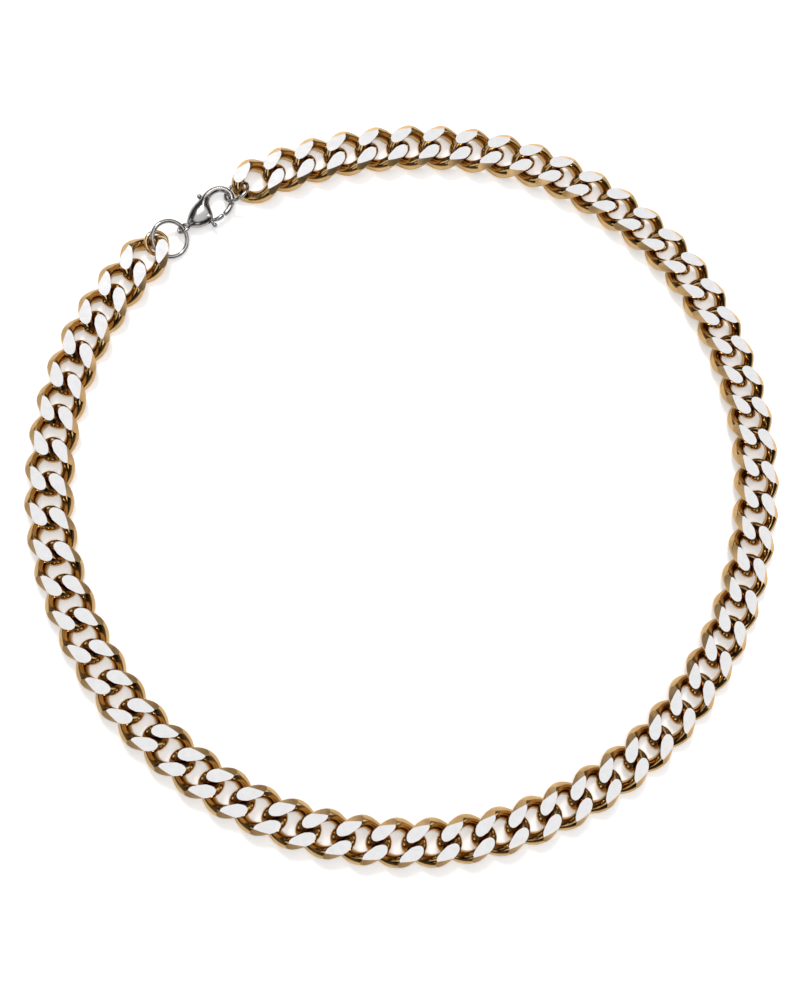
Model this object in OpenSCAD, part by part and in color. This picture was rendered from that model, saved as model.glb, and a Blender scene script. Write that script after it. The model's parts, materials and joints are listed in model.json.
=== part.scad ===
// Curb chain necklace with a lobster clasp, lying closed on a flat surface.
// Millimetres, +Z up, origin under the middle of the loop on the surface.

/* [Chain] */
// Number of curb links
link_count = 63; // [40:1:80]
// Distance from one link to the next along the loop
link_pitch = 7.45; // [7.2:0.05:7.6]
// Length of one link, outside to outside
link_len = 13.1; // [13:0.05:13.3]
// Width of the chain, outside to outside
link_wide = 10.4; // [10:0.1:11]
// Thickness of the wire that the links are bent from
wire = 2.6; // [2.54:0.02:2.62]
// Twist of each end of a link out of the flat, in degrees
twist = 44; // [43.5:0.5:46]
// Thickness of the chain between its two ground faces
chain_thick = 4.4; // [4.1:0.1:4.5]
// Width of the bevel ground along each edge of the chain
bevel_wide = 1.7; // [1.4:0.1:1.9]
// Depth of that bevel
bevel_deep = 1.25; // [1:0.05:1.4]

/* [Rings] */
// Mean radius of the large steel jump ring
jump_r = 3.95; // [3.8:0.05:4.6]
// Wire of the large steel jump ring
jump_wire = 0.84; // [0.8:0.05:1]
// Mean radius of the small steel ring at the hook
small_r = 2.9; // [2.85:0.05:3]
// Wire of the small steel ring
small_wire = 0.7; // [0.65:0.01:0.75]
// Mean radius of the gold ring on the last link
gold_r = 2.5; // [2.45:0.05:2.6]
// Wire of the gold ring
gold_wire = 0.76; // [0.7:0.01:0.8]

/* [Clasp] */
// Length from the centre of the eye to the outside of the hook
clasp_len = 14.2; // [13.8:0.1:14.6]
// Width of the drop-shaped body
body_wide = 5.7; // [5.5:0.1:6]
// Thickness of the drop-shaped body
body_thick = 3.4; // [3:0.1:3.6]
// Mean radius of the eye at the tail
eye_r = 1.05; // [1.02:0.01:1.15]
// Wire of the eye
eye_wire = 0.7; // [0.6:0.05:0.75]
// Width of the hook's bar, seen from above
hook_wide = 1.35; // [1.2:0.05:1.4]
// Height of the hook's bar
hook_high = 1.35; // [1.2:0.05:1.4]
// Thickness of the lever's plate in the slot of the body
lever_plate = 0.7; // [0.6:0.05:0.8]
// Clearance on each side of the lever's plate
slot_clear = 0.15; // [0.1:0.01:0.2]
// Height of the lever's gate outside the body
gate_high = 1.5; // [1:0.1:1.8]
// Diameter of the pivot pin
pin_d = 0.8; // [0.6:0.05:1]
// Radial clearance of the lever on its pin
pin_clear = 0.05; // [0.03:0.01:0.08]
// Diameter of the thumb knob and of the heel knob
knob_d = 1.25; // [1:0.05:1.4]

/* [Hidden] */

gold = "#b07a2a";
steel = "#c9cacc";

// Clearance kept where one loose piece hangs in another
play = 0.15;
// Half sizes of a link
end_x = (link_len - wire) / 2;
side_y = (link_wide - wire) / 2;
half_thick = chain_thick / 2;
wire_r = wire / 2;

// Facets of a link: stations round the loop of wire and corners of the wire
stations = 16;
corners = 6;

// Shape of the loop on the surface: bearing from the clasp, clockwise, and
// distance from the middle as a share of the mean distance
route = [
    [0, 0.981], [30, 0.986], [60, 1.027], [90, 1.041], [120, 1.010], [150, 0.985],
    [180, 0.983], [210, 0.991], [240, 0.997], [270, 0.999], [300, 1.003], [330, 0.994]
];
// Bearing of the clasp seen from the middle of the loop, anticlockwise from +X
clasp_bearing = 129.7;
// Curve samples between two route points
route_steps = 10;

// Places along the gap between the last link and the first one
jump_x = jump_r - wire_r - jump_wire / 2 - play - 0.08;
jump_y = -0.65;
jump_z = 2.02;
jump_tilt = 21;
jump_lean = 6;
eye_tilt = -42;
eye_x = jump_x + jump_r * cos(jump_lean) + 0.1;
eye_y = -0.35;
// The clasp lies turned outwards by this angle from the line of the gap
clasp_turn = 6;
gap = eye_x + clasp_len * cos(clasp_turn) + wire_r - play;
clasp_z = body_thick / 2;
small_at = [gap - 0.58, -0.48, 2.36];
small_turn = [-40.8, -11, 0];
gold_at = [-0.88, 0.36, 1.63];
gold_turn = [22.9, 9.6, 0];

// Point of the unit loop at route row i, and the closed curve through the points
function route_xy(i) =
    let (row = route[(i + len(route)) % len(route)], b = clasp_bearing - row[0])
    [row[1] * cos(b), row[1] * sin(b)];
function curve_xy(i, t) =
    let (p0 = route_xy(i - 1), p1 = route_xy(i), p2 = route_xy(i + 1), p3 = route_xy(i + 2))
    p1 + t * (p2 - p0) / 2 + t * t * (p0 - 2.5 * p1 + 2 * p2 - 0.5 * p3)
    + t * t * t * (-0.5 * p0 + 1.5 * p1 - 1.5 * p2 + 0.5 * p3);
unit_curve = [for (i = [0 : len(route) - 1], k = [0 : route_steps - 1]) curve_xy(i, k / route_steps)];
samples = len(unit_curve);
function run_len(i) = i == 0 ? 0 : norm(unit_curve[i % samples] - unit_curve[i - 1]);
unit_run = [for (i = 0, s = 0; i <= samples; i = i + 1, s = s + (i <= samples ? run_len(i) : 0)) s];
unit_len = unit_run[samples];

// Length of the loop: the links, and the arc over the straight gap
chain_run = (link_count - 1) * link_pitch;
chord = gap + 2 * end_x;
mean_r = (chain_run + chord) / (2 * PI);
loop_len = chain_run + chord + pow(chord, 3) / (24 * mean_r * mean_r);
scale_r = loop_len / unit_len;
low = [for (a = [0, 1]) min([for (p = unit_curve) p[a]])];
high = [for (a = [0, 1]) max([for (p = unit_curve) p[a]])];
middle = scale_r * (low + high) / 2;
table_x = [for (i = [0 : samples]) [unit_run[i] * scale_r, unit_curve[i % samples][0] * scale_r]];
table_y = [for (i = [0 : samples]) [unit_run[i] * scale_r, unit_curve[i % samples][1] * scale_r]];
function wrap(s) = s < 0 ? s + loop_len : s > loop_len ? s - loop_len : s;
function spot(s) = [lookup(wrap(s), table_x), lookup(wrap(s), table_y)] - middle;
function heading(s) =
    let (d = spot(s + link_pitch / 2) - spot(s - link_pitch / 2))
    atan2(d[1], d[0]);

// Each link's centre and heading, clockwise from the hook's end of the chain
first_s = (loop_len - chain_run) / 2;
function link_spot(k) = spot(first_s + k * link_pitch);
function link_turn(k) = heading(first_s + k * link_pitch);

// Frame of the gap: from the end of the last link to the end of the first one
last = link_count - 1;
gap_from = link_spot(last) + end_x * [cos(link_turn(last)), sin(link_turn(last))];
gap_to = link_spot(0) - end_x * [cos(link_turn(0)), sin(link_turn(0))];
gap_turn = atan2(gap_to[1] - gap_from[1], gap_to[0] - gap_from[0]);

// Centre line of a link at angle q: an oval whose two ends are twisted apart
function oval(q) =
    let (f = -twist * cos(q))
    [end_x * cos(q), side_y * sin(q) * cos(f), side_y * sin(q) * sin(f)];
function unit(v) = v / norm(v);
// A corner of the wire, before grinding
function wire_corner(i, j) =
    let (q = 360 * i / stations, c = 360 * (j + 0.5) / corners, f = -twist * cos(q),
         along = unit(oval(q + 1) - oval(q - 1)),
         side = unit(cross(along, [0, -sin(f), cos(f)])),
         up = cross(side, along))
    oval(q) + wire_r * (cos(c) * side + sin(c) * up);
// Grinding: the flat faces above and below, then the bevels along both edges
bevel_n = unit([0, bevel_deep, bevel_wide]);
bevel_at = bevel_n * [0, link_wide / 2, half_thick - bevel_deep];
function flat_ground(p) = [p[0], p[1], max(-half_thick, min(half_thick, p[2]))];
function edge_ground(p) =
    let (a = [0, abs(p[1]), abs(p[2])], over = max(0, bevel_n * a - bevel_at), b = a - over * bevel_n)
    [p[0], sign(p[1]) * b[1], sign(p[2]) * b[2]];
link_points = [for (i = [0 : stations - 1], j = [0 : corners - 1])
    edge_ground(flat_ground(wire_corner(i, j)))];
link_faces = [for (i = [0 : stations - 1], j = [0 : corners - 1])
    let (i2 = (i + 1) % stations, j2 = (j + 1) % corners)
    each [[i * corners + j, i * corners + j2, i2 * corners + j],
          [i2 * corners + j, i * corners + j2, i2 * corners + j2]]];

function placed(p, at, turn) =
    [at[0] + p[0] * cos(turn) - p[1] * sin(turn),
     at[1] + p[0] * sin(turn) + p[1] * cos(turn),
     half_thick + p[2]];

// A run of links: every link is a solid of its own, clear of its neighbours
module links(from, to) {
    points = [for (k = [from : to], p = link_points) placed(p, link_spot(k), link_turn(k))];
    faces = [for (k = [0 : to - from], f = link_faces) f + [1, 1, 1] * k * len(link_points)];
    color(gold) polyhedron(points = points, faces = faces, convexity = 10);
}

half_count = ceil(link_count / 2);
module curb_links_right() {
    links(0, half_count - 1);
}

module curb_links_left() {
    links(half_count, last);
}

// A round ring of round wire, lying flat about the origin
module ring(r, d) {
    rotate_extrude($fn = 64) translate([r, 0]) circle(d = d, $fn = 24);
}

// Puts what follows at x, y and z of the gap's frame
module in_gap(x, y, z) {
    translate([gap_from[0], gap_from[1], 0]) rotate([0, 0, gap_turn]) translate([x, y, z]) children();
}

// Jump ring: over the low side of the last link, under its high side
module jump_ring() {
    color(steel) in_gap(jump_x, jump_y, jump_z)
        rotate([jump_tilt, jump_lean, 0]) ring(jump_r, jump_wire);
}

// Small ring: through the hook and round the end of the first link
module small_ring() {
    color(steel) in_gap(small_at[0], small_at[1], small_at[2]) rotate(small_turn) ring(small_r, small_wire);
}

// Gold ring: round the end of the last link, below the jump ring
module gold_ring() {
    color(gold) in_gap(gold_at[0], gold_at[1], gold_at[2]) rotate(gold_turn) ring(gold_r, gold_wire);
}

// Everything of the clasp is drawn about its eye, hook along +X, thumb side +Y
module in_clasp() {
    in_gap(eye_x, eye_y, clasp_z) rotate([0, 0, clasp_turn]) children();
}

// Body and hook as one bar: place along the clasp and across it, width seen
// from above, height and heading, from the tail round to the tip of the hook
clasp_rows = [
    [0.065, -0.1, 0.24, 0.4, 0], [0.135, -0.25, 0.46, 0.64, 0], [0.21, -0.35, 0.72, 0.85, 0],
    [0.3, -0.3, 0.91, 0.97, 0], [0.385, -0.25, 1, 1, 0], [0.44, -0.1, 0.97, 0.97, 0],
    [0.485, 1.0, 0.6, 0.88, 8], [0.535, 1.6, 0.42, 0.79, 8], [0.6, 1.95, 0.32, 0.66, 5]
];
hook_rows = [
    [0.685, 2.1, 1.05, 1.15, 2], [0.77, 2.05, 1.03, 1.08, -8], [0.845, 1.7, 1, 1, -28],
    [0.91, 1.0, 1, 1, -50], [0.945, 0.1, 1, 1, -72], [0.95, -0.9, 1, 1, -92],
    [0.925, -1.9, 1, 1, -115], [0.865, -2.75, 0.95, 1, -140], [0.79, -3.35, 0.9, 1, -158],
    [0.71, -3.6, 0.85, 0.95, -170], [0.62, -3.62, 0.8, 0.95, -178]
];
body_bar = concat(
    [for (r = clasp_rows) [r[0] * clasp_len, r[1], r[2] * body_wide, r[3] * body_thick, r[4]]],
    [for (r = hook_rows) [r[0] * clasp_len, r[1], r[2] * hook_wide, r[3] * hook_high, r[4]]]);

// A bar through oval sections: each row is x, y, width, height and heading
module bar(rows, n) {
    m = len(rows);
    points = [for (r = rows, j = [0 : n - 1])
        let (c = 360 * (j + 0.5) / n, across = r[2] / 2 * cos(c))
        [r[0] - across * sin(r[4]), r[1] + across * cos(r[4]), r[3] / 2 * sin(c)]];
    sides = [for (i = [0 : m - 2], j = [0 : n - 1])
        let (j2 = (j + 1) % n)
        each [[i * n + j, (i + 1) * n + j, (i + 1) * n + j2], [i * n + j, (i + 1) * n + j2, i * n + j2]]];
    ends = [[for (j = [0 : n - 1]) j], [for (j = [0 : n - 1]) m * n - 1 - j]];
    polyhedron(points = points, faces = concat(sides, ends), convexity = 6);
}

// Pivot of the lever in the clasp's frame, thumb and heel knobs, and the swing
pivot = [0.415 * clasp_len, -0.34 * body_wide];
thumb = [0.56 * clasp_len, 3.45];
heel = [pivot[0] - 0.2, -4.05];
open_angle = 24;
thumb_open = pivot + norm(thumb - pivot)
    * [cos(open_angle + atan2(thumb[1] - pivot[1], thumb[0] - pivot[0])),
       sin(open_angle + atan2(thumb[1] - pivot[1], thumb[0] - pivot[0]))];
slot_high = lever_plate + 2 * slot_clear;
lever_hub = 0.9;
arm_half = 0.42;

// The gate ends on an arc about the pivot, and the hook's tip begins beyond it
reach = 0.235 * clasp_len;
reach_gap = 0.2;

// Room for the lever's plate: a flat slot through the body from side to side
module slot() {
    side = arm_half + slot_clear + 0.1;
    linear_extrude(height = slot_high, center = true) polygon([
        [pivot[0] - lever_hub - slot_clear - 0.1, -5], [pivot[0] + reach + 1, -5],
        [pivot[0] + reach + 1, pivot[1] + 0.5], [pivot[0] + side + 0.7, pivot[1] + 0.5],
        [thumb[0] + side + 0.25, thumb[1] + 1], [thumb_open[0] - side, thumb[1] + 1],
        [pivot[0] - lever_hub - slot_clear - 0.1, pivot[1] + 1]
    ]);
}

// Everything nearer to the pivot than the gate's reach, on the gate's side
module reach_zone(r) {
    translate([pivot[0], pivot[1], 0]) intersection() {
        cylinder(r = r, h = 2 * body_thick, center = true, $fn = 96);
        translate([reach, -reach - 0.3, 0]) cube([2 * reach - 1.2, 2 * reach, 3 * body_thick], center = true);
    }
}

module clasp_body() {
    color(steel) in_clasp() {
        difference() {
            bar(body_bar, 12);
            slot();
            reach_zone(reach + reach_gap);
            translate(pivot) cylinder(d = pin_d + 0.04, h = 2 * body_thick, center = true, $fn = 32);
        }
        rotate([eye_tilt, 0, 0]) ring(eye_r, eye_wire);
    }
}

// Lever: plate in the slot, gate outside it, thumb knob and heel knob
gate_y = -3.55;
gate_wide = 0.95;
gate_from = 0.505 * clasp_len;
module lever_plate_shape() {
    translate(pivot) circle(r = lever_hub, $fn = 32);
    polygon([
        [pivot[0] - 0.4, pivot[1]], [thumb[0] - arm_half, thumb[1]],
        [thumb[0] + arm_half, thumb[1]], [pivot[0] + 0.75, pivot[1]]
    ]);
    polygon([
        [pivot[0] - 0.1, pivot[1] - 0.85], [gate_from + 0.5, gate_y - 0.4],
        [gate_from + 0.5, gate_y + 0.4], [pivot[0] + 0.4, pivot[1] + 0.6]
    ]);
    polygon([
        [heel[0] - 0.35, heel[1]], [heel[0] + 0.35, heel[1]],
        [pivot[0] + 0.5, pivot[1]], [pivot[0] - 0.5, pivot[1]]
    ]);
}

module clasp_lever() {
    color(steel) in_clasp() difference() {
        union() {
            linear_extrude(height = lever_plate, center = true) lever_plate_shape();
            intersection() {
                bar([[gate_from, gate_y + 0.1, 0.7, 1, 0],
                    [gate_from + 0.4, gate_y + 0.03, gate_wide, gate_high, -4],
                    [gate_from + 1.2, gate_y, gate_wide, gate_high, -4],
                    [pivot[0] + reach + 0.5, gate_y - 0.1, gate_wide, gate_high, -4]], 12);
                reach_zone(reach);
            }
            translate(thumb) sphere(d = knob_d, $fn = 24);
            translate(heel) sphere(d = knob_d, $fn = 24);
        }
        translate(pivot) cylinder(d = pin_d + 2 * pin_clear, h = 2 * body_thick, center = true, $fn = 32);
    }
}

// Pin across the body, which the lever turns on
module pivot_pin() {
    color(steel) in_clasp() translate(pivot)
        cylinder(d = pin_d, h = 0.72 * body_thick, center = true, $fn = 32);
}

curb_links_right();
curb_links_left();
jump_ring();
small_ring();
gold_ring();
clasp_body();
clasp_lever();
pivot_pin();
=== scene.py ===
"""Dresses the curb chain necklace: ground gold links, steel jump rings and a lobster clasp."""

import json
import math

import bmesh
import bpy
import numpy as np
from mathutils import Matrix, Vector


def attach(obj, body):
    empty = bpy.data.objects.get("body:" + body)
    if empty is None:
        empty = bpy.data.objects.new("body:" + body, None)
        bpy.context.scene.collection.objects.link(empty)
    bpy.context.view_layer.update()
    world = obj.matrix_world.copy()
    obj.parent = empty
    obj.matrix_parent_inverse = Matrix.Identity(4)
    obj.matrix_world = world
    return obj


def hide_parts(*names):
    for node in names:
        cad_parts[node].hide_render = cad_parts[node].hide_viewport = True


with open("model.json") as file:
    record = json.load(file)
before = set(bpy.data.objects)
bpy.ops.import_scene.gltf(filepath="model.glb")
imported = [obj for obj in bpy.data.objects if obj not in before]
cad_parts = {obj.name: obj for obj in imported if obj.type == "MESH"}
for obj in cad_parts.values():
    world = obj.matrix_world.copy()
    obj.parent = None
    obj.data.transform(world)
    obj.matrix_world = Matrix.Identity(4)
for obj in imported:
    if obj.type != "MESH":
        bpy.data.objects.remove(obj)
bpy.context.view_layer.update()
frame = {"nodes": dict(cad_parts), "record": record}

MM = 0.001
# Points this close to a plane are on it, and points nearer than this are one
TINY = 0.0005 * MM
NEAR = 0.001 * MM

# The links: an oval of wire, its ends twisted apart over this share of its length, then
# ground. The sizes are the source's, but the round wire is fuller than its facets
LINK_LEN = 13.1 * MM
CHAIN_WIDE = 10.4 * MM
CHAIN_THICK = 4.4 * MM
WIRE = 2.85 * MM
TWIST = math.radians(43)
TWIST_SPAN = (0.15, 0.85)
BEVEL_WIDE = 1.4 * MM
BEVEL_DEEP = 1.12 * MM
BARREL_RADIUS = 12 * MM
BARREL_STEPS = 12
LINK_STEPS = 72
WIRE_STEPS = 7
FACE_SLOT = 1
BEVEL_SLOT = 2
END_X = (LINK_LEN - WIRE) / 2
SIDE_Y = (CHAIN_WIDE - WIRE) / 2

# The clasp, measured along and across from its eye; the casting is this much fuller than
# the CAD's facets
PIVOT_ALONG = 5.893 * MM
PIVOT_ACROSS = -1.938 * MM
CLASP_TURN = math.radians(45.13)
CLASP_LEN = 14.2 * MM
BODY_WIDE = 5.7 * MM
BODY_THICK = 3.4 * MM
HOOK_BAR = 1.5 * MM
CAST_FULL = 1.04
SLOT_HIGH = 1.0 * MM
EYE_TILT = math.radians(-42)
EYE_RADIUS = 1.25 * MM
EYE_WIRE = 0.86 * MM

# The lever and its pin
GATE_ACROSS = -3.55 * MM
PLATE_THICK = 0.66 * MM
THUMB_ALONG = 0.55 * CLASP_LEN
THUMB_ACROSS = 3.2 * MM
HEEL_ALONG = PIVOT_ALONG - 0.2 * MM
HEEL_ACROSS = -4.05 * MM
KNOB_RADIUS = 0.58 * MM
KNOB_TALL = 1.05
PIN_WIDE = 0.8 * MM
PIN_LONG = 0.78 * BODY_THICK
PIN_EDGE = 0.12 * MM

# The rings: round wire looks this much thicker than the CAD's facets
WIRE_FULL = 1.2
RING_STEPS = 96
RING_SIDES = 20
SEAM_HALF = 0.05 * MM
SEAM_DEEP = 0.06 * MM

# Edges sharper than this, in degrees, stay crisp
CRISP = 40
RING_CRISP = 50

# The metals' patterns: waves to the metre, and the height of ripples and grinding lines
GOLD_CLOUDS = 260
GOLD_WEAR = 900
GOLD_RIPPLE = 420
RIPPLE_HIGH = 0.03 * MM
GRIND_LINES = 500
GRIND_WEAR = 700
GRIND_HIGH = 0.0015 * MM
BEVEL_GRIND_HIGH = 0.0004 * MM

# The camera looks down at the table from the lower left
CAMERA_AT = Vector((-41.90, -58.92, 279.87)) * MM
CAMERA_AIM = Vector((-3.35, -4.88, 0)) * MM
CAMERA_ROLL = math.radians(36.25)
CAMERA_LENS = 46.8
CAMERA_NEAR = 0.01
FILM_HIGH = 36

# The table, and the room as metal mirrors it: a dim glow near the horizon, dark above
TABLE_WIDE = 4
TABLE_DROP = 0.02 * MM
TABLE_GREY = (0.93, 0.93, 0.93, 1)
TABLE_ROUGH = 0.7
TABLE_SHEEN = 0.45
GLOW_TO = 0.10
DARK_FROM = 0.36
ROOM_GLOW = (0.20, 0.178, 0.155, 1)
ROOM_DARK = (0.011, 0.007, 0.004, 1)
WALL_GREY = (0.62, 0.62, 0.62, 1)

# Lamps: name, place, what it points at, width in metres and power in watts
LOOP_MIDDLE = (0, 0, 0)
LAMPS = [
    ("softbox", (0.09, 0.13, 0.62), (0.09, 0.13, 0), 0.84, 2.2),
    ("key", (-0.3, 1.0, 1.4), LOOP_MIDDLE, 0.42, 11),
    ("back_panel", (-0.12, 1.1, 0.27), LOOP_MIDDLE, 0.52, 0.5),
    ("left_panel", (-1.0, 0.1, 0.62), LOOP_MIDDLE, 0.5, 0.7),
    ("front_left_panel", (-0.75, -0.62, 0.74), LOOP_MIDDLE, 0.6, 0.9),
    ("front_panel", (0.08, -0.97, 0.75), LOOP_MIDDLE, 0.45, 0.9),
    ("right_panel", (1.1, 0.2, 0.34), LOOP_MIDDLE, 0.5, 0.7),
]


def deselect():
    """Leaves object mode with nothing selected."""
    if bpy.context.object and bpy.context.object.mode != "OBJECT":
        bpy.ops.object.mode_set(mode="OBJECT")
    bpy.ops.object.select_all(action="DESELECT")


def pick(*objs):
    """Selects these objects alone, the first of them active."""
    deselect()
    for obj in objs:
        obj.select_set(True)
    bpy.context.view_layer.objects.active = objs[0]


def settle(obj, name):
    """Names a finished piece and puts its place into its mesh."""
    pick(obj)
    bpy.ops.object.transform_apply(location=True, rotation=True, scale=True)
    obj.name = name
    obj.data.name = name
    return obj


def apply(obj, modifier):
    """Works a modifier into the piece's mesh."""
    pick(obj)
    bpy.ops.object.modifier_apply(modifier=modifier.name)


def dress(obj, *materials):
    """Gives a piece its materials, in place of any it has."""
    obj.data.materials.clear()
    for material in materials:
        obj.data.materials.append(material)


def smooth(obj, degrees):
    """Shades a piece smooth, but for edges sharper than this."""
    pick(obj)
    bpy.ops.object.shade_smooth_by_angle(angle=math.radians(degrees))


# Finishes


def new_metal(name):
    """A metal with its texture coordinates, ready for colour, gloss and relief."""
    material = bpy.data.materials.new(name)
    material.use_nodes = True
    nodes = material.node_tree.nodes
    shader = nodes["Principled BSDF"]
    shader.inputs["Metallic"].default_value = 1
    coords = nodes.new("ShaderNodeTexCoord")
    return material, shader, coords


def link_nodes(material, *pairs):
    """Joins pairs of an output and an input."""
    for source, target in pairs:
        material.node_tree.links.new(source, target)


def noise(material, coords, scale, detail, stretch=(1, 1, 1)):
    """Noise on the piece's own coordinates, so many waves to the metre."""
    nodes = material.node_tree.nodes
    mapping = nodes.new("ShaderNodeMapping")
    mapping.inputs["Scale"].default_value = stretch
    texture = nodes.new("ShaderNodeTexNoise")
    texture.inputs["Scale"].default_value = scale
    texture.inputs["Detail"].default_value = detail
    link_nodes(
        material,
        (coords.outputs["Object"], mapping.inputs["Vector"]),
        (mapping.outputs["Vector"], texture.inputs["Vector"]),
    )
    return texture.outputs["Fac"]


def ramp(material, value, *stops):
    """Blends from one colour or grey to another along a value from 0 to 1."""
    node = material.node_tree.nodes.new("ShaderNodeValToRGB")
    for element, (place, tone) in zip(node.color_ramp.elements, stops):
        element.position = place
        element.color = (*tone, 1) if isinstance(tone, tuple) else (tone, tone, tone, 1)
    link_nodes(material, (value, node.inputs["Fac"]))
    return node.outputs["Color"]


def relief(material, value, height, strength):
    """Bumps of this height where the value is high."""
    node = material.node_tree.nodes.new("ShaderNodeBump")
    node.inputs["Distance"].default_value = height
    node.inputs["Strength"].default_value = strength
    link_nodes(material, (value, node.inputs["Height"]))
    return node.outputs["Normal"]


def polished_gold(name, dark, light, low, high):
    """Gold plating: cloudy colour, fine wear in the gloss and a faint ripple."""
    material, shader, coords = new_metal(name)
    clouds = noise(material, coords, GOLD_CLOUDS, 3)
    wear = noise(material, coords, GOLD_WEAR, 6)
    ripple = noise(material, coords, GOLD_RIPPLE, 2)
    link_nodes(
        material,
        (ramp(material, clouds, (0.3, dark), (0.7, light)), shader.inputs["Base Color"]),
        (ramp(material, wear, (0.35, low), (0.7, high)), shader.inputs["Roughness"]),
        (relief(material, ripple, RIPPLE_HIGH, 0.35), shader.inputs["Normal"]),
    )
    return material


def ground_metal(name, dark, light, low, high, across=(1, 1, 1), grind_high=GRIND_HIGH):
    """A ground face: fine grinding lines one way, with gloss that varies."""
    material, shader, coords = new_metal(name)
    lines = noise(material, coords, GRIND_LINES, 5, across)
    wear = noise(material, coords, GRIND_WEAR, 5)
    link_nodes(
        material,
        (ramp(material, wear, (0.3, dark), (0.7, light)), shader.inputs["Base Color"]),
        (ramp(material, lines, (0.3, low), (0.7, high)), shader.inputs["Roughness"]),
        (relief(material, lines, grind_high, 0.3), shader.inputs["Normal"]),
    )
    return material


# Each has its darker and lighter colour, then its roughness from best polished to worn
gold_wire = polished_gold("polished_gold", (0.425, 0.267, 0.105), (0.58, 0.383, 0.178), 0.08, 0.16)
pale_gold = polished_gold("pale_gold", (0.62, 0.42, 0.21), (0.74, 0.53, 0.29), 0.12, 0.24)
ground_face = ground_metal(
    "ground_face", (0.633, 0.63, 0.638), (0.675, 0.669, 0.672), 0.10, 0.16, across=(1, 3, 1)
)
ground_bevel = ground_metal(
    "ground_bevel",
    (0.73, 0.46, 0.205),
    (0.83, 0.555, 0.272),
    0.29,
    0.38,
    across=(3, 1, 1),
    grind_high=BEVEL_GRIND_HIGH,
)
steel = ground_metal("polished_steel", (0.37, 0.36, 0.35), (0.45, 0.44, 0.43), 0.14, 0.24)
cast_steel = ground_metal("cast_steel", (0.34, 0.33, 0.322), (0.42, 0.41, 0.40), 0.18, 0.27)


# The chain


def select_at_x(obj, x):
    """Selects the vertices at this distance along a piece in edit mode."""
    bpy.ops.mesh.select_all(action="DESELECT")
    mesh = bmesh.from_edit_mesh(obj.data)
    for vert in mesh.verts:
        vert.select = abs(vert.co.x - x) < TINY
    mesh.select_flush_mode()
    bmesh.update_edit_mesh(obj.data)


def ground_bar():
    """What grinding leaves a link inside: flat faces and slightly barrelled bevels."""
    half_thick = CHAIN_THICK / 2
    deselect()
    bpy.ops.mesh.primitive_cube_add(size=1)
    bar = bpy.context.object
    bpy.ops.transform.resize(value=(4 * END_X, CHAIN_WIDE + WIRE, CHAIN_THICK))
    bpy.ops.object.transform_apply(scale=True)
    dress(bar, gold_wire, ground_face, ground_bevel)
    bpy.ops.object.mode_set(mode="EDIT")
    bpy.ops.mesh.select_all(action="SELECT")
    bar.active_material_index = FACE_SLOT
    bpy.ops.object.material_slot_assign()
    for out in (1, -1):
        for up in (1, -1):
            bpy.ops.mesh.select_all(action="SELECT")
            bpy.ops.mesh.bisect(
                plane_co=(0, out * CHAIN_WIDE / 2, up * (half_thick - BEVEL_DEEP)),
                plane_no=(0, out * BEVEL_DEEP, up * BEVEL_WIDE),
                use_fill=True,
                clear_outer=True,
                threshold=TINY,
            )
            bar.active_material_index = BEVEL_SLOT
            bpy.ops.object.material_slot_assign()
    half_long = LINK_LEN / 2
    rings = [half_long * (step / BARREL_STEPS) for step in range(1 - BARREL_STEPS, BARREL_STEPS)]
    for x in rings:
        bpy.ops.mesh.select_all(action="SELECT")
        bpy.ops.mesh.bisect(plane_co=(x, 0, 0), plane_no=(1, 0, 0), threshold=TINY)
    for x in rings:
        select_at_x(bar, x)
        narrow = 1 - x * x / (BARREL_RADIUS * CHAIN_WIDE)
        bpy.ops.transform.resize(value=(1, narrow, 1), center_override=(0, 0, 0))
    bpy.ops.object.mode_set(mode="OBJECT")
    return bar


def sharpen(obj, slots):
    """Keeps the faces in these material slots flat and their rims crisp."""
    pick(obj)
    bpy.ops.object.mode_set(mode="EDIT")
    for slot in slots:
        bpy.ops.mesh.select_all(action="DESELECT")
        obj.active_material_index = slot
        bpy.ops.object.material_slot_select()
        bpy.ops.mesh.faces_shade_flat()
        bpy.ops.mesh.region_to_loop()
        bpy.ops.mesh.mark_sharp()
    bpy.ops.mesh.select_mode(type="VERT")
    bpy.ops.object.mode_set(mode="OBJECT")


def model_link():
    """One link about the origin: an oval of wire, its ends twisted apart, then ground."""
    deselect()
    bpy.ops.mesh.primitive_circle_add(vertices=LINK_STEPS, radius=1)
    link = bpy.context.object
    bpy.ops.transform.resize(value=(END_X, SIDE_Y, 1))
    bpy.ops.object.transform_apply(scale=True)
    twist = link.modifiers.new("twist", "SIMPLE_DEFORM")
    twist.deform_method = "TWIST"
    twist.deform_axis = "X"
    twist.angle = -2 * TWIST
    twist.limits = TWIST_SPAN
    apply(link, twist)
    bpy.ops.object.convert(target="CURVE")
    link = bpy.context.object
    link.data.bevel_depth = WIRE / 2
    link.data.bevel_resolution = WIRE_STEPS
    bpy.ops.object.convert(target="MESH")
    link = bpy.context.object
    dress(link, gold_wire, ground_face, ground_bevel)
    bpy.ops.object.mode_set(mode="EDIT")
    bpy.ops.mesh.select_all(action="SELECT")
    bpy.ops.mesh.normals_make_consistent(inside=False)
    bpy.ops.object.mode_set(mode="OBJECT")
    bar = ground_bar()
    grind = link.modifiers.new("grind", "BOOLEAN")
    grind.operation = "INTERSECT"
    grind.solver = "EXACT"
    grind.object = bar
    apply(link, grind)
    bpy.data.objects.remove(bar)
    smooth(link, CRISP)
    sharpen(link, (FACE_SLOT, BEVEL_SLOT))
    return link


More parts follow.
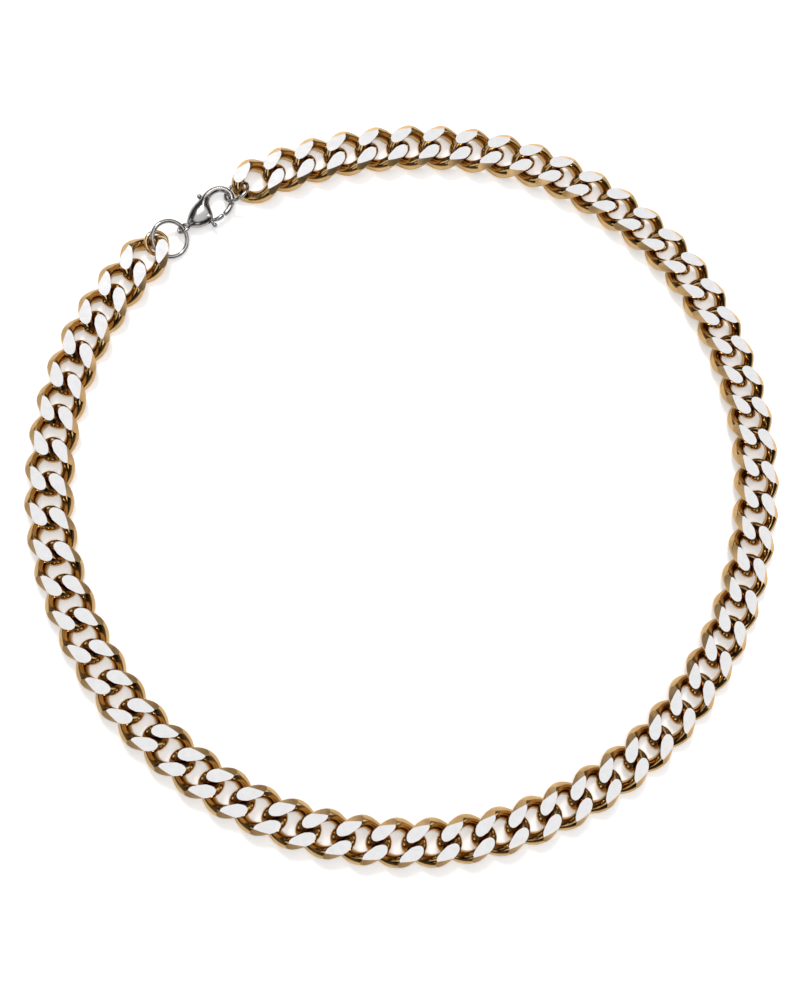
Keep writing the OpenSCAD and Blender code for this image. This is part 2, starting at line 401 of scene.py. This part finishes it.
def loose_middles(node):
    """The middle of each loose solid of a CAD node."""
    mesh = bmesh.new()
    mesh.from_mesh(frame["nodes"][node].data)
    bmesh.ops.remove_doubles(mesh, verts=mesh.verts, dist=NEAR)
    left = set(mesh.verts)
    middles = []
    for first in mesh.verts:
        if first not in left:
            continue
        left.remove(first)
        todo = [first]
        group = []
        while todo:
            vert = todo.pop()
            group.append(vert.co.copy())
            for edge in vert.link_edges:
                other = edge.other_vert(vert)
                if other in left:
                    left.remove(other)
                    todo.append(other)
        middles.append(sum(group, Vector()) / len(group))
    mesh.free()
    return middles


def bearing(point, start):
    """How far round the loop a point lies, clockwise from a start point."""
    turn = math.atan2(start.y, start.x) - math.atan2(point.y, point.x)
    return turn % (2 * math.pi)


def between(a, b):
    """The heading halfway from one to another, the short way round."""
    return a + math.remainder(b - a, 2 * math.pi) / 2


def link_places(start):
    """Middle and heading of every link, clockwise from the clasp."""
    middles = loose_middles("curb_links_right") + loose_middles("curb_links_left")
    middles.sort(key=lambda point: bearing(point, start))
    steps = [b - a for a, b in zip(middles, middles[1:])]
    turns = [math.atan2(step.y, step.x) for step in steps]
    headings = [between(a, b) for a, b in zip(turns, turns[1:])]
    headings.insert(0, 2 * turns[0] - headings[0])
    headings.append(turns[-1] + math.remainder(turns[-1] - headings[-1], 2 * math.pi))
    return list(zip(middles, headings))


def lay_links(model, places, name):
    """Copies the link to its places and joins the copies into one stretch of chain."""
    copies = []
    for at, heading in places:
        pick(model)
        bpy.ops.object.duplicate()
        copy = bpy.context.object
        copy.location = (at.x, at.y, CHAIN_THICK / 2)
        copy.rotation_euler = (0, 0, heading)
        copies.append(copy)
    pick(*copies)
    bpy.ops.object.join()
    return settle(bpy.context.object, name)


# Rings


def ring_of(node):
    """Middle, axis, mean radius and wire radius of a ring in the CAD model."""
    points = np.array([v.co for v in frame["nodes"][node].data.vertices])
    points = np.unique(points.round(7), axis=0)
    middle = points.mean(0)
    axis = np.linalg.svd(points - middle, full_matrices=False)[2][2]
    axis = axis if axis[2] > 0 else -axis
    flat = (points - middle) - np.outer((points - middle) @ axis, axis)
    reach = np.linalg.norm(flat, axis=1)
    radius = (reach.max() + reach.min()) / 2
    wire = (reach.max() - reach.min()) / 2
    return Vector(middle), Vector(axis), radius, wire * WIRE_FULL


def make_ring(name, middle, axis, radius, wire, material, seam):
    """A ring of round wire whose ends meet at a fine seam, this far round it."""
    deselect()
    bpy.ops.mesh.primitive_torus_add(
        major_segments=RING_STEPS, minor_segments=RING_SIDES, major_radius=radius, minor_radius=wire
    )
    ring = bpy.context.object
    bpy.ops.object.mode_set(mode="EDIT")
    seam_out = Vector((math.cos(seam), math.sin(seam), 0))
    seam_along = Vector((-math.sin(seam), math.cos(seam), 0))
    for offset in (-SEAM_HALF, 0, SEAM_HALF):
        bpy.ops.mesh.select_all(action="SELECT")
        bpy.ops.mesh.bisect(plane_co=seam_along * offset, plane_no=seam_along, threshold=TINY)
    bpy.ops.mesh.select_all(action="DESELECT")
    mesh = bmesh.from_edit_mesh(ring.data)
    for vert in mesh.verts:
        vert.select = abs(vert.co.dot(seam_along)) < NEAR and vert.co.dot(seam_out) > 0
    mesh.select_flush_mode()
    bmesh.update_edit_mesh(ring.data)
    bpy.ops.transform.shrink_fatten(value=-SEAM_DEEP)
    bpy.ops.object.mode_set(mode="OBJECT")
    ring.matrix_world = Matrix.Translation(middle) @ axis.to_track_quat("Z", "Y").to_matrix().to_4x4()
    dress(ring, material)
    smooth(ring, RING_CRISP)
    return settle(ring, name)


# The clasp


def sweep(name, rows, sides, levels):
    """A smooth bar through oval sections: place, width, height and heading of each."""
    deselect()
    bpy.ops.mesh.primitive_circle_add(vertices=sides)
    bar = bpy.context.object
    bpy.ops.object.mode_set(mode="EDIT")
    bpy.ops.mesh.delete(type="VERT")
    for x, y, wide, high, heading in rows:
        bpy.ops.mesh.primitive_circle_add(
            vertices=sides,
            radius=wide / 2,
            location=(x, y, 0),
            rotation=(0, math.pi / 2, math.radians(heading)),
        )
        bpy.ops.transform.resize(value=(1, 1, high / wide), center_override=(x, y, 0))

    def choose(loops):
        """Selects the edges that run round these sections."""
        mesh = bmesh.from_edit_mesh(bar.data)
        mesh.verts.ensure_lookup_table()
        bpy.ops.mesh.select_all(action="DESELECT")
        for edge in mesh.edges:
            loop = {vert.index // sides for vert in edge.verts}
            edge.select = len(loop) == 1 and loop <= set(loops)
        bmesh.update_edit_mesh(bar.data)

    for row in range(len(rows) - 1):
        choose((row, row + 1))
        bpy.ops.mesh.bridge_edge_loops()
    for row in (0, len(rows) - 1):
        choose((row,))
        bpy.ops.mesh.edge_face_add()
    bpy.ops.mesh.select_all(action="SELECT")
    bpy.ops.mesh.normals_make_consistent(inside=False)
    bpy.ops.object.mode_set(mode="OBJECT")
    round_off = bar.modifiers.new("round", "SUBSURF")
    round_off.levels = levels
    round_off.render_levels = levels
    apply(bar, round_off)
    bar.name = name
    return bar


def box_at(middle, size):
    """A block to cut with."""
    deselect()
    bpy.ops.mesh.primitive_cube_add(size=1, location=middle)
    bpy.ops.transform.resize(value=size)
    bpy.ops.object.transform_apply(location=True, scale=True)
    return bpy.context.object


def carve(obj, cutter):
    """Takes the cutter's shape out of a piece."""
    difference = obj.modifiers.new("carve", "BOOLEAN")
    difference.operation = "DIFFERENCE"
    difference.solver = "EXACT"
    difference.object = cutter
    apply(obj, difference)
    bpy.data.objects.remove(cutter)


def in_clasp(obj, name, at):
    """Lays a piece made about the clasp's eye where the clasp lies."""
    obj.matrix_world = at @ obj.matrix_world
    return settle(obj, name)


# Sections along the clasp: share of its length, mm across it, share of the body's or
# the bar's width and height, and heading in degrees
BODY_ROWS = [
    (0.092, -0.16, 0.24, 0.36, 0), (0.122, -0.21, 0.36, 0.52, 0), (0.16, -0.27, 0.53, 0.70, 0),
    (0.21, -0.33, 0.72, 0.86, 0), (0.30, -0.30, 0.92, 0.98, 0), (0.39, -0.25, 1.01, 1.01, 0),
    (0.455, -0.15, 0.99, 0.98, 3), (0.505, 0.65, 0.72, 0.88, 10), (0.55, 1.45, 0.46, 0.76, 12),
    (0.61, 2.02, 0.34, 0.64, 8),
]
HOOK_ROWS = [
    (0.685, 2.24, 1.14, 1.2, 2), (0.77, 2.2, 1.08, 1.08, -10), (0.85, 1.8, 1.04, 1, -30),
    (0.91, 1.05, 1.04, 1, -52), (0.942, 0.1, 1.04, 1, -74), (0.946, -0.9, 1.04, 1, -93),
    (0.918, -1.9, 1.02, 1, -115), (0.86, -2.72, 0.97, 1, -140), (0.785, -3.3, 0.92, 1, -158),
    (0.71, -3.56, 0.87, 0.95, -170), (0.655, -3.62, 0.84, 0.95, -176),
    (0.632, -3.62, 0.70, 0.8, -178),
]

# The lever's gate: share of the clasp's length, mm from the gate's line, width and height
# in mm, and heading in degrees
GATE_ROWS = [
    (0.425, 1.0, 0.8, 0.7, -40), (0.455, 0.45, 0.9, 0.75, -28), (0.50, 0.12, 1.1, 1.3, -10),
    (0.555, 0.0, 1.15, 1.5, -4), (0.60, -0.04, 1.1, 1.4, -2), (0.622, -0.05, 0.9, 1.1, -2),
]

# The slot's two mouths, in mm: middle along the clasp from the pivot, middle across the
# clasp, length and width
SLOT_MOUTHS = [(0.9, -2.7, 3.8, 4), (0.95, 2.4, 3.9, 3)]


def make_body(at):
    """The cast body and its hook in one, with the slot for the lever."""
    rows = []
    for x, y, width, height, heading in BODY_ROWS:
        wide = width * BODY_WIDE * CAST_FULL
        high = height * BODY_THICK
        rows.append((x * CLASP_LEN, y * MM, wide, high, heading))
    for x, y, width, height, heading in HOOK_ROWS:
        wide = width * HOOK_BAR * CAST_FULL
        high = height * HOOK_BAR * CAST_FULL
        rows.append((x * CLASP_LEN, y * MM, wide, high, heading))
    body = sweep("clasp_casting", rows, sides=10, levels=3)
    for along, across, long, wide in SLOT_MOUTHS:
        mouth = box_at((PIVOT_ALONG + along * MM, across * MM, 0), (long * MM, wide * MM, SLOT_HIGH))
        carve(body, mouth)
    dress(body, cast_steel)
    smooth(body, CRISP)
    return in_clasp(body, "clasp_casting", at)


def make_lever(at):
    """Lever: a plate in the slot, the gate, and a knob at the thumb and at the heel."""
    rows = [(x * CLASP_LEN, GATE_ACROSS + y * MM, wide * MM, high * MM, heading)
            for x, y, wide, high, heading in GATE_ROWS]
    gate = sweep("lever", rows, sides=10, levels=2)
    # Place along and across the clasp, width, thickness and heading in degrees
    plate_rows = [
        (PIVOT_ALONG - 0.35 * MM, -4.0 * MM, 0.5 * MM, 0.6 * MM, 100),
        (PIVOT_ALONG - 0.1 * MM, -3.0 * MM, 0.9 * MM, PLATE_THICK, 92),
        (PIVOT_ALONG, PIVOT_ACROSS, 1.5 * MM, PLATE_THICK, 80),
        (PIVOT_ALONG + 0.9 * MM, 0.4 * MM, 1.0 * MM, PLATE_THICK, 68),
        (THUMB_ALONG, 3.15 * MM, 0.8 * MM, PLATE_THICK, 68),
    ]
    plate = sweep("plate", plate_rows, sides=8, levels=2)
    knobs = []
    for x, y in ((THUMB_ALONG, THUMB_ACROSS), (HEEL_ALONG, HEEL_ACROSS)):
        deselect()
        bpy.ops.mesh.primitive_uv_sphere_add(
            segments=24, ring_count=16, radius=KNOB_RADIUS, location=(x, y, 0)
        )
        bpy.ops.transform.resize(value=(1, 1, KNOB_TALL))
        knobs.append(bpy.context.object)
    pick(gate, plate, *knobs)
    bpy.ops.object.join()
    lever = bpy.context.object
    dress(lever, cast_steel)
    smooth(lever, CRISP)
    return in_clasp(lever, "lever", at)


def make_pin(at):
    """The pin's two domed heads show on the body's faces."""
    deselect()
    bpy.ops.mesh.primitive_cylinder_add(
        vertices=32,
        radius=PIN_WIDE / 2,
        depth=PIN_LONG,
        location=(PIVOT_ALONG, PIVOT_ACROSS, 0),
    )
    pin = bpy.context.object
    edge = pin.modifiers.new("edge", "BEVEL")
    edge.width = PIN_EDGE
    edge.segments = 3
    edge.limit_method = "ANGLE"
    apply(pin, edge)
    dress(pin, steel)
    smooth(pin, CRISP)
    return in_clasp(pin, "pin", at)


# Everything in its place

pivot_at = Vector(frame["record"]["behaviour"]["joints"][0]["pos_m"])
turn = Matrix.Rotation(CLASP_TURN, 4, "Z")
eye_at = pivot_at - turn @ Vector((PIVOT_ALONG, PIVOT_ACROSS, 0))
clasp_at = Matrix.Translation(eye_at) @ turn

places = link_places(eye_at)
right_count = len(loose_middles("curb_links_right"))
link = model_link()
chain_right = lay_links(link, places[:right_count], "chain_right")
chain_left = lay_links(link, places[right_count:], "chain_left")
bpy.data.objects.remove(link)

# Each ring's seam lies this far round it
rings = []
for name, material, seam, slot_name in (
    ("jump_ring", steel, math.radians(100), "steel_rings"),
    ("small_ring", steel, math.radians(20), "steel_rings"),
    ("gold_ring", pale_gold, math.radians(200), "gold_ring"),
):
    ring = make_ring(f"{name}_wire", *ring_of(name), material, seam)
    rings.append((ring, name, slot_name))

eye_axis = turn @ Matrix.Rotation(EYE_TILT, 4, "X") @ Vector((0, 0, 1))
eye = make_ring("clasp_eye", eye_at, eye_axis, EYE_RADIUS, EYE_WIRE / 2, cast_steel, 0)
body = make_body(clasp_at)
lever = make_lever(clasp_at)
pin = make_pin(clasp_at)

for piece, node, slot_name in (
    (chain_right, "curb_links_right", "gold_links"),
    (chain_left, "curb_links_left", "gold_links"),
    *rings,
    (body, "clasp_body", "steel_clasp"),
    (pin, "pivot_pin", "steel_clasp"),
):
    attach(piece, "necklace")
    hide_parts(node)
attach(eye, "necklace")
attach(lever, "lever")
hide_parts("clasp_lever")

# Table, light and camera


def area_light(name, at, aim, size, power):
    """A round lamp at its place, turned to what it points at."""
    data = bpy.data.lights.new(name, "AREA")
    data.shape = "DISK"
    data.size = size
    data.energy = power
    light = bpy.data.objects.new(name, data)
    light.location = at
    light.rotation_euler = (Vector(aim) - Vector(at)).to_track_quat("-Z", "Y").to_euler()
    bpy.context.collection.objects.link(light)


deselect()
bpy.ops.mesh.primitive_plane_add(size=TABLE_WIDE, location=(0, 0, -TABLE_DROP))
table = bpy.context.object
table.name = "table"
table_paint = bpy.data.materials.new("table_paint")
table_paint.use_nodes = True
table_shader = table_paint.node_tree.nodes["Principled BSDF"]
table_shader.inputs["Base Color"].default_value = TABLE_GREY
table_shader.inputs["Roughness"].default_value = TABLE_ROUGH
table_shader.inputs["Emission Color"].default_value = (1, 1, 1, 1)
table_shader.inputs["Emission Strength"].default_value = TABLE_SHEEN
dress(table, table_paint)

world = bpy.data.worlds.new("studio")
bpy.context.scene.world = world
world.use_nodes = True
dim_room = world.node_tree.nodes["Background"]
toward = world.node_tree.nodes.new("ShaderNodeTexCoord")
height = world.node_tree.nodes.new("ShaderNodeSeparateXYZ")
glow = world.node_tree.nodes.new("ShaderNodeValToRGB")
glow_stops = ((GLOW_TO, ROOM_GLOW), (DARK_FROM, ROOM_DARK))
for element, (place, colour) in zip(glow.color_ramp.elements, glow_stops):
    element.position = place
    element.color = colour
pale_wall = world.node_tree.nodes.new("ShaderNodeBackground")
pale_wall.inputs["Color"].default_value = WALL_GREY
seen = world.node_tree.nodes.new("ShaderNodeLightPath")
room = world.node_tree.nodes.new("ShaderNodeMixShader")
for source, target in (
    (toward.outputs["Generated"], height.inputs[0]),
    (height.outputs["Z"], glow.inputs["Fac"]),
    (glow.outputs["Color"], dim_room.inputs["Color"]),
    (seen.outputs["Is Camera Ray"], room.inputs[0]),
    (dim_room.outputs[0], room.inputs[1]),
    (pale_wall.outputs[0], room.inputs[2]),
    (room.outputs[0], world.node_tree.nodes["World Output"].inputs["Surface"]),
):
    world.node_tree.links.new(source, target)
for lamp in LAMPS:
    area_light(*lamp)

lens = bpy.data.cameras.new("camera")
lens.sensor_fit = "VERTICAL"
lens.sensor_height = FILM_HIGH
lens.lens = CAMERA_LENS
lens.clip_start = CAMERA_NEAR
camera = bpy.data.objects.new("camera", lens)
bpy.context.collection.objects.link(camera)
level = (CAMERA_AIM - CAMERA_AT).to_track_quat("-Z", "Y").to_matrix().to_4x4()
camera.matrix_world = Matrix.Translation(CAMERA_AT) @ level @ Matrix.Rotation(CAMERA_ROLL, 4, "Z")
bpy.context.scene.camera = camera
bpy.context.scene.view_settings.view_transform = "Standard"
